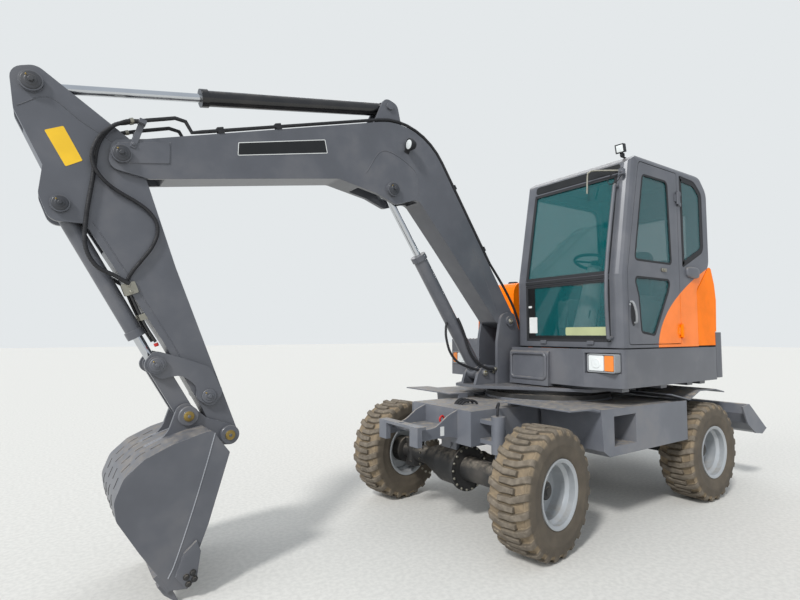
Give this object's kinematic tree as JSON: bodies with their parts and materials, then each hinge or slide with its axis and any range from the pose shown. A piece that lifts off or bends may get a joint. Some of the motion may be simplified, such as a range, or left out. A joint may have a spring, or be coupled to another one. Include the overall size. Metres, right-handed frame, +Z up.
{
  "type": "wheeled excavator",
  "caption": "Compact wheeled excavator with a glazed cab, a bent boom, an arm with a digging bucket, four lugged tyres and a rear dozer blade.",
  "frame": {"origin": "on the ground under the middle of the whole machine's box", "axes": "+X forward along the boom, +Y to the machine's left, +Z up"},
  "size_m": [6.0661, 1.9982, 3.3012],
  "materials": {
    "grey_paint": "satin",
    "chassis_paint": "satin, dusty",
    "orange_paint": "gloss",
    "axle_paint": "satin, dusty",
    "cast_weight": "painted, satin",
    "cylinder_paint": "gloss",
    "arm_cylinder_paint": "gloss",
    "chrome": "polished",
    "tyre_rubber": "dusty",
    "rim_paint": "satin",
    "glazing": "tinted",
    "seat_cover": "matt",
    "cab_trim": "matt",
    "lamp": "clear",
    "hose": "matt",
    "engine_block": "rough"
  },
  "bodies": {
    "chassis": {"frame": "chassis_paint", "toolboxes": "chassis_paint", "fenders": "chassis_paint", "rear_axle": "axle_paint", "front_axle": "axle_paint", "driveline": "axle_paint", "slew_ring": "axle_paint"},
    "steer_left": {"knuckle_left": "axle_paint"},
    "steer_right": {"knuckle_right": "axle_paint"},
    "wheel_front_left": {"tyre_front_left": "tyre_rubber", "rim_front_left": "rim_paint"},
    "wheel_front_right": {"tyre_front_right": "tyre_rubber", "rim_front_right": "rim_paint"},
    "wheel_rear_left": {"tyre_rear_left": "tyre_rubber", "rim_rear_left": "rim_paint"},
    "wheel_rear_right": {"tyre_rear_right": "tyre_rubber", "rim_rear_right": "rim_paint"},
    "dozer_blade": {"blade": "chassis_paint"},
    "blade_cylinder": {"blade_barrel": "cylinder_paint"},
    "blade_piston": {"blade_rod": "chrome"},
    "upper": {"deck": "grey_paint", "skirt": "grey_paint", "counterweight": "cast_weight", "side_body": "orange_paint", "engine": "engine_block", "cab": "grey_paint", "cab_glass": "glazing", "seat": "seat_cover", "controls": "cab_trim", "lamps": "lamp", "rails": "grey_paint"},
    "engine_hood": {"hood": "orange_paint"},
    "cab_door": {"door": "grey_paint", "door_glass": "glazing"},
    "main_boom": {"boom": "grey_paint", "boom_pipes": "hose"},
    "boom_cylinder": {"boom_barrel": "cylinder_paint"},
    "boom_piston": {"boom_rod": "chrome"},
    "arm_cylinder": {"arm_barrel": "arm_cylinder_paint"},
    "arm_piston": {"arm_rod": "chrome"},
    "dipper": {"arm": "grey_paint", "arm_hoses": "hose"},
    "bucket_cylinder": {"bucket_barrel": "cylinder_paint"},
    "bucket_piston": {"bucket_rod": "chrome"},
    "tipping_guides": {"guide_links": "grey_paint"},
    "tipping_link": {"bucket_link": "grey_paint"},
    "digging_bucket": {"bucket": "grey_paint"}
  },
  "joints": [
    {"name": "steer_left", "type": "hinge", "parent": "chassis", "child": "steer_left", "pos_m": [0.128, 0.61, 0.42], "axis": [0, 0, 1], "range_deg": [-38.7, 21.3]},
    {"name": "steer_right", "type": "hinge", "parent": "chassis", "child": "steer_right", "pos_m": [0.128, -0.61, 0.42], "axis": [0, 0, 1], "range_deg": [-38.7, 21.3]},
    {"name": "spin_front_left", "type": "hinge", "parent": "steer_left", "child": "wheel_front_left", "pos_m": [0.128, 0.61, 0.42], "axis": [-0.1513, 0.9885, 0], "continuous": true},
    {"name": "spin_rear_left", "type": "hinge", "parent": "chassis", "child": "wheel_rear_left", "pos_m": [-1.992, 0.8, 0.42], "axis": [0, 1, 0], "continuous": true},
    {"name": "spin_front_right", "type": "hinge", "parent": "steer_right", "child": "wheel_front_right", "pos_m": [0.128, -0.61, 0.42], "axis": [-0.1513, 0.9885, 0], "continuous": true},
    {"name": "spin_rear_right", "type": "hinge", "parent": "chassis", "child": "wheel_rear_right", "pos_m": [-1.992, -0.8, 0.42], "axis": [0, 1, 0], "continuous": true},
    {"name": "blade_lift", "type": "hinge", "parent": "chassis", "child": "dozer_blade", "pos_m": [-2.194, 0, 0.52], "axis": [0, 1, 0], "range_deg": [-40, 5]},
    {"name": "blade_cylinder_swing", "type": "hinge", "parent": "chassis", "child": "blade_cylinder", "pos_m": [-2.222, 0, 0.8], "axis": [0, 1, 0], "range_deg": [-26.83, 3.36]},
    {"name": "blade_cylinder_stroke", "type": "slide", "parent": "blade_cylinder", "child": "blade_piston", "axis": [-0.8742, 0, -0.4856], "range_m": [-0.0202, 0.1606]},
    {"name": "slew", "type": "hinge", "parent": "chassis", "child": "upper", "pos_m": [-0.932, 0, 0.97], "axis": [0, 0, 1], "continuous": true},
    {"name": "hood_lift", "type": "hinge", "parent": "upper", "child": "engine_hood", "pos_m": [-2.124, 0, 1.994], "axis": [0, 1, 0], "range_deg": [0, 45]},
    {"name": "door_swing", "type": "hinge", "parent": "upper", "child": "cab_door", "pos_m": [-1.533, 0.937, 0], "axis": [0, 0, 1], "range_deg": [0, 160]},
    {"name": "boom_lift", "type": "hinge", "parent": "upper", "child": "main_boom", "pos_m": [-0.602, -0.262, 1.56], "axis": [0, -1, 0], "range_deg": [-55, 38]},
    {"name": "boom_cylinder_swing", "type": "hinge", "parent": "upper", "child": "boom_cylinder", "pos_m": [-0.325, -0.262, 1.108], "axis": [0, -1, 0], "range_deg": [-50.15, 34.65]},
    {"name": "boom_cylinder_stroke", "type": "slide", "parent": "boom_cylinder", "child": "boom_piston", "axis": [0.5525, 0, 0.8335], "range_m": [-0.4577, 0.31626]},
    {"name": "arm_swing", "type": "hinge", "parent": "main_boom", "child": "dipper", "pos_m": [2.51657, -0.262, 2.47489], "axis": [0, 1, 0], "range_deg": [-80, 22], "deforming": ["arm_hoses"]},
    {"name": "arm_cylinder_swing", "type": "hinge", "parent": "main_boom", "child": "arm_cylinder", "pos_m": [0.6596, -0.262, 3.2453], "axis": [0, 1, 0], "range_deg": [-5, 1.38]},
    {"name": "arm_cylinder_stroke", "type": "slide", "parent": "arm_cylinder", "child": "arm_piston", "axis": [0.9808, 0, -0.195], "range_m": [-0.65216, 0.17941]},
    {"name": "bucket_curl", "type": "hinge", "parent": "dipper", "child": "digging_bucket", "pos_m": [1.87289, -0.262, 0.82393], "axis": [0, 1, 0], "range_deg": [-5, 140]},
    {"name": "guide_swing", "type": "hinge", "parent": "dipper", "child": "tipping_guides", "pos_m": [1.99721, -0.262, 1.06848], "axis": [0, 1, 0], "range_deg": [-4.03, 112.54]},
    {"name": "tipping_link_swing", "type": "hinge", "parent": "digging_bucket", "child": "tipping_link", "pos_m": [2.11778, -0.262, 0.95968], "axis": [0, -1, 0], "range_deg": [-3.93, 109.76]},
    {"name": "bucket_cylinder_swing", "type": "hinge", "parent": "dipper", "child": "bucket_cylinder", "pos_m": [2.79776, -0.262, 2.15274], "axis": [0, -1, 0], "range_deg": [-0.29, 7.77]},
    {"name": "bucket_cylinder_stroke", "type": "slide", "parent": "bucket_cylinder", "child": "bucket_piston", "axis": [-0.4915, 0, -0.8709], "range_m": [-0.02093, 0.58335]}
  ],
  "couplings": [
    {"joint": "steer_right", "follows": "steer_left", "ratio": 1},
    {"joint": "blade_cylinder_swing", "follows": "blade_lift", "ratio": 0.6706},
    {"joint": "blade_cylinder_stroke", "follows": "blade_lift", "m_per_rad": -0.2299},
    {"joint": "boom_cylinder_swing", "follows": "boom_lift", "ratio": 0.9117},
    {"joint": "boom_cylinder_stroke", "follows": "boom_lift", "m_per_rad": 0.4767},
    {"joint": "arm_cylinder_swing", "follows": "arm_swing", "ratio": 0.0624},
    {"joint": "arm_cylinder_stroke", "follows": "arm_swing", "m_per_rad": 0.467},
    {"joint": "guide_swing", "follows": "bucket_curl", "ratio": 0.8038},
    {"joint": "tipping_link_swing", "follows": "bucket_curl", "ratio": 0.7839},
    {"joint": "bucket_cylinder_swing", "follows": "bucket_curl", "ratio": 0.0554},
    {"joint": "bucket_cylinder_stroke", "follows": "bucket_curl", "m_per_rad": 0.2387}
  ]
}
